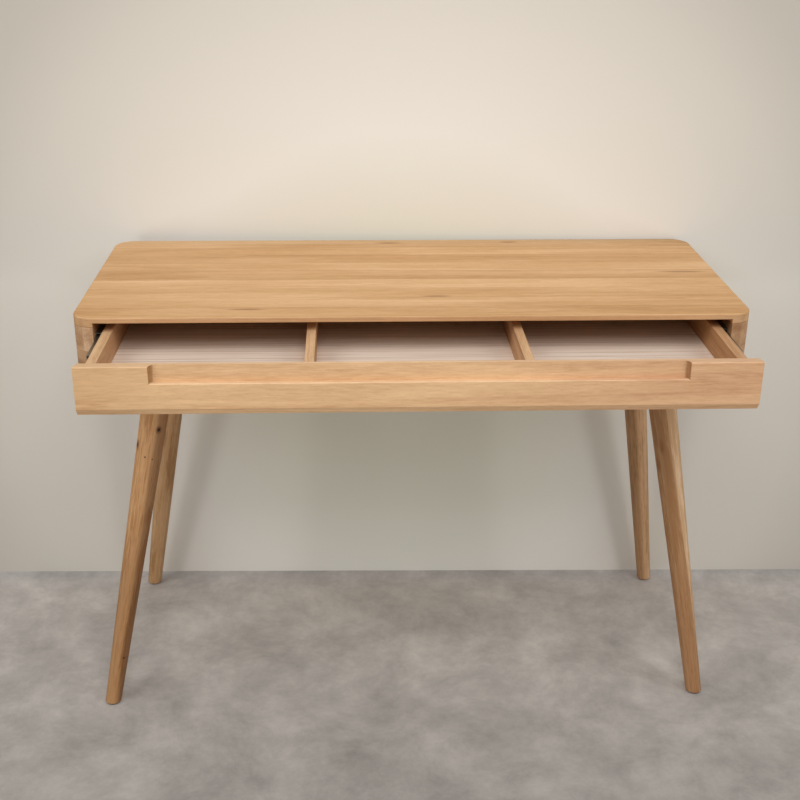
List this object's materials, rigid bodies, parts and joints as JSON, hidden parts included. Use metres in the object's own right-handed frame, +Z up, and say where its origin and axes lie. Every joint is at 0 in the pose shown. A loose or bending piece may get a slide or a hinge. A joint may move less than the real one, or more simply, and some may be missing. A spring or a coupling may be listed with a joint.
{
  "type": "console desk",
  "caption": "Slim oak writing desk with a rounded top, splayed tapered legs and a wide divided drawer with a finger recess, running on ball-bearing slides.",
  "frame": {"origin": "on the floor, under the middle of the case", "axes": "+X along the desk's width to the right, +Y from the front to the back, +Z up"},
  "size_m": [1.11, 0.629, 0.75],
  "materials": {
    "oak_case": "oiled oak, glued staves",
    "oak_leg": "oiled oak, turned",
    "oak_front": "oiled oak",
    "oak_drawer": "oiled oak",
    "pale_veneer": "pale limed veneer",
    "beech_dowel": "plain beech",
    "zinc_steel": "zinc plated",
    "ball_steel": "polished",
    "fastener_steel": "zinc plated",
    "felt": "felt"
  },
  "bodies": {
    "case": {"top_panel": "oak_case", "left_side_panel": "oak_case", "right_side_panel": "oak_case", "back_panel": "oak_case", "floor_panel": "oak_case", "front_left_leg": "oak_leg", "front_right_leg": "oak_leg", "back_left_leg": "oak_leg", "back_right_leg": "oak_leg", "top_dowels": "beech_dowel", "floor_dowels": "beech_dowel", "back_dowels": "beech_dowel", "hanger_bolts": "fastener_steel", "leg_inserts": "fastener_steel", "foot_glides": "felt", "left_outer_channel": "zinc_steel", "right_outer_channel": "zinc_steel", "case_slide_screws": "fastener_steel"},
    "drawer": {"drawer_front": "oak_front", "drawer_left_side": "oak_drawer", "drawer_right_side": "oak_drawer", "drawer_back": "oak_drawer", "drawer_bottom": "pale_veneer", "drawer_dowels": "beech_dowel", "left_divider": "oak_drawer", "right_divider": "oak_drawer", "left_inner_channel": "zinc_steel", "right_inner_channel": "zinc_steel", "drawer_slide_screws": "fastener_steel"},
    "left_middle": {"left_middle_channel": "zinc_steel"},
    "left_outer_bearing": {"left_outer_cage": "zinc_steel", "left_outer_balls": "ball_steel"},
    "left_inner_bearing": {"left_inner_cage": "zinc_steel", "left_inner_balls": "ball_steel"},
    "right_middle": {"right_middle_channel": "zinc_steel"},
    "right_outer_bearing": {"right_outer_cage": "zinc_steel", "right_outer_balls": "ball_steel"},
    "right_inner_bearing": {"right_inner_cage": "zinc_steel", "right_inner_balls": "ball_steel"}
  },
  "joints": [
    {"name": "drawer_slide", "type": "slide", "parent": "case", "child": "drawer", "axis": [0, -1, 0], "range_m": [-0.179, 0.221]},
    {"name": "left_middle_slide", "type": "slide", "parent": "case", "child": "left_middle", "axis": [0, -1, 0], "range_m": [-0.0895, 0.1105]},
    {"name": "left_outer_bearing_slide", "type": "slide", "parent": "case", "child": "left_outer_bearing", "axis": [0, -1, 0], "range_m": [-0.04475, 0.05525]},
    {"name": "left_inner_bearing_slide", "type": "slide", "parent": "case", "child": "left_inner_bearing", "axis": [0, -1, 0], "range_m": [-0.13425, 0.16575]},
    {"name": "right_middle_slide", "type": "slide", "parent": "case", "child": "right_middle", "axis": [0, -1, 0], "range_m": [-0.0895, 0.1105]},
    {"name": "right_outer_bearing_slide", "type": "slide", "parent": "case", "child": "right_outer_bearing", "axis": [0, -1, 0], "range_m": [-0.04475, 0.05525]},
    {"name": "right_inner_bearing_slide", "type": "slide", "parent": "case", "child": "right_inner_bearing", "axis": [0, -1, 0], "range_m": [-0.13425, 0.16575]}
  ],
  "couplings": [
    {"joint": "left_middle_slide", "follows": "drawer_slide", "ratio": 0.5},
    {"joint": "left_outer_bearing_slide", "follows": "drawer_slide", "ratio": 0.25},
    {"joint": "left_inner_bearing_slide", "follows": "drawer_slide", "ratio": 0.75},
    {"joint": "right_middle_slide", "follows": "drawer_slide", "ratio": 0.5},
    {"joint": "right_outer_bearing_slide", "follows": "drawer_slide", "ratio": 0.25},
    {"joint": "right_inner_bearing_slide", "follows": "drawer_slide", "ratio": 0.75}
  ]
}
